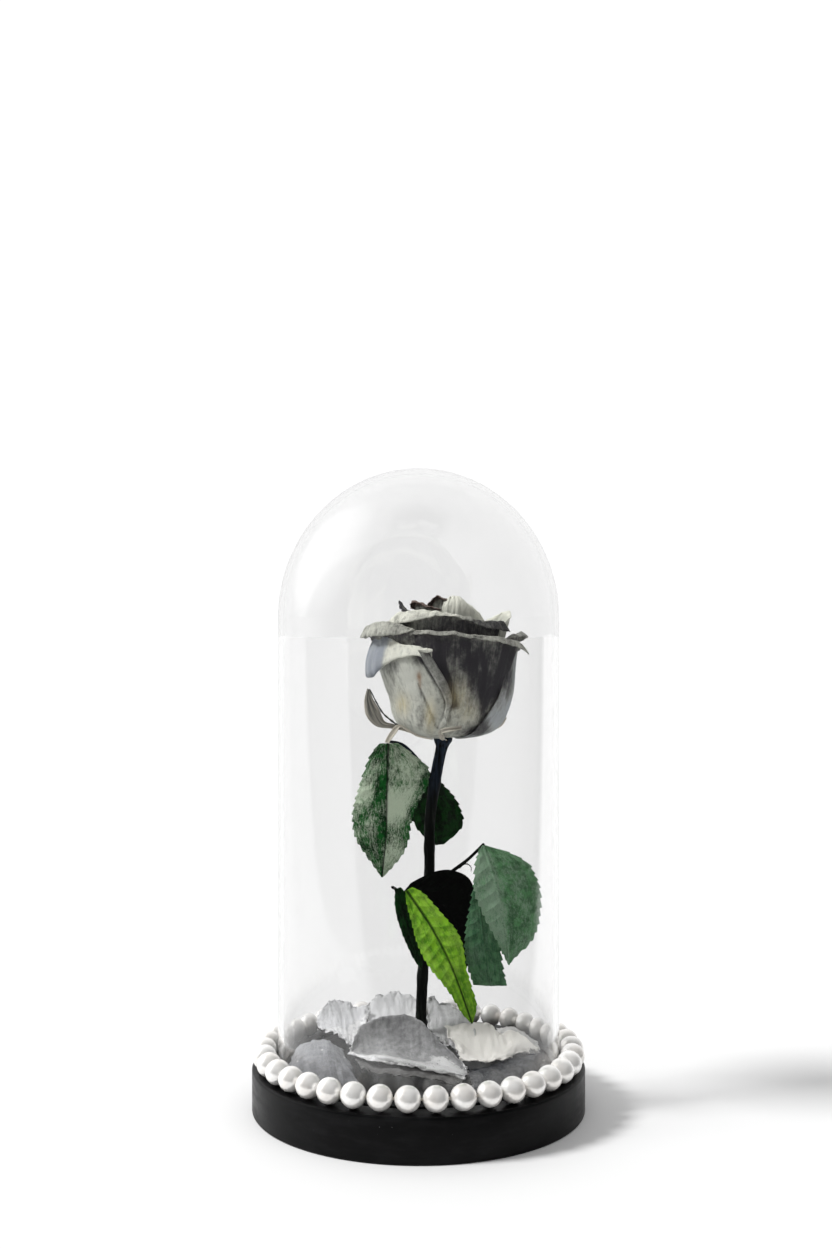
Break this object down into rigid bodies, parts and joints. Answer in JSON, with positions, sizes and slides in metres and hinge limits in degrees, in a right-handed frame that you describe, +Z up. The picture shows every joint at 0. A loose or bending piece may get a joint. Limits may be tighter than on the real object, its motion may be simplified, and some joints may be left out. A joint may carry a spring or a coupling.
{
  "type": "preserved rose in a glass dome",
  "caption": "Dried, silver-painted rose with leaves on a round black base, loose petals at its foot, under a clear glass dome ringed by a string of pearls.",
  "frame": {"origin": "centre of the underside of the base, on the surface that it stands on", "axes": "+Z up along the dome's axis, -Y towards the viewer of the picture, +X to the right"},
  "size_m": [0.135, 0.135, 0.2593],
  "materials": {
    "black_base": "matt black lacquer with a faint sheen",
    "clear_glass": "clear, polished blown glass",
    "pearl": "cream nacre coating, glossy",
    "silver_petal": "dried petal painted silver grey with a soft metallic glint",
    "green_leaf": "dried green leaf, dusted silver in places",
    "dried_sepal": "dried cream sepal",
    "stem": "dark dried stem"
  },
  "bodies": {
    "root": {"base": "black_base", "fallen_petal_1": "silver_petal", "fallen_petal_2": "silver_petal", "fallen_petal_3": "silver_petal", "fallen_petal_4": "silver_petal", "fallen_petal_5": "silver_petal", "fallen_petal_6": "silver_petal", "fallen_petal_7": "silver_petal", "fallen_petal_8": "silver_petal", "fallen_petal_9": "silver_petal", "glass_dome": "clear_glass", "leaf_stalk_left": "stem", "leaf_stalk_right": "stem", "leaf_stalk_upper": "stem", "leaflet_lower_front": "green_leaf", "leaflet_lower_left": "green_leaf", "leaflet_middle": "green_leaf", "leaflet_right_back": "green_leaf", "leaflet_right_front": "green_leaf", "leaflet_upper_left": "green_leaf", "leaflet_upper_right": "green_leaf", "pearl_string": "pearl", "rose_petal_01": "silver_petal", "rose_petal_02": "silver_petal", "rose_petal_03": "silver_petal", "rose_petal_04": "silver_petal", "rose_petal_05": "silver_petal", "rose_petal_06": "silver_petal", "rose_petal_07": "silver_petal", "rose_petal_08": "silver_petal", "rose_petal_09": "silver_petal", "rose_petal_10": "silver_petal", "rose_petal_11": "silver_petal", "rose_petal_12": "silver_petal", "rose_petal_13": "silver_petal", "rose_petal_14": "silver_petal", "rose_petal_15": "silver_petal", "rose_petal_16": "silver_petal", "rose_petal_17": "silver_petal", "rose_petal_18": "silver_petal", "rose_petal_19": "silver_petal", "rose_petal_20": "silver_petal", "rose_petal_21": "silver_petal", "rose_petal_22": "silver_petal", "sepal_back": "dried_sepal", "sepal_front": "dried_sepal", "sepal_hanging": "dried_sepal", "sepal_left": "dried_sepal", "sepal_right": "dried_sepal", "stem": "stem"}
  },
  "joints": []
}
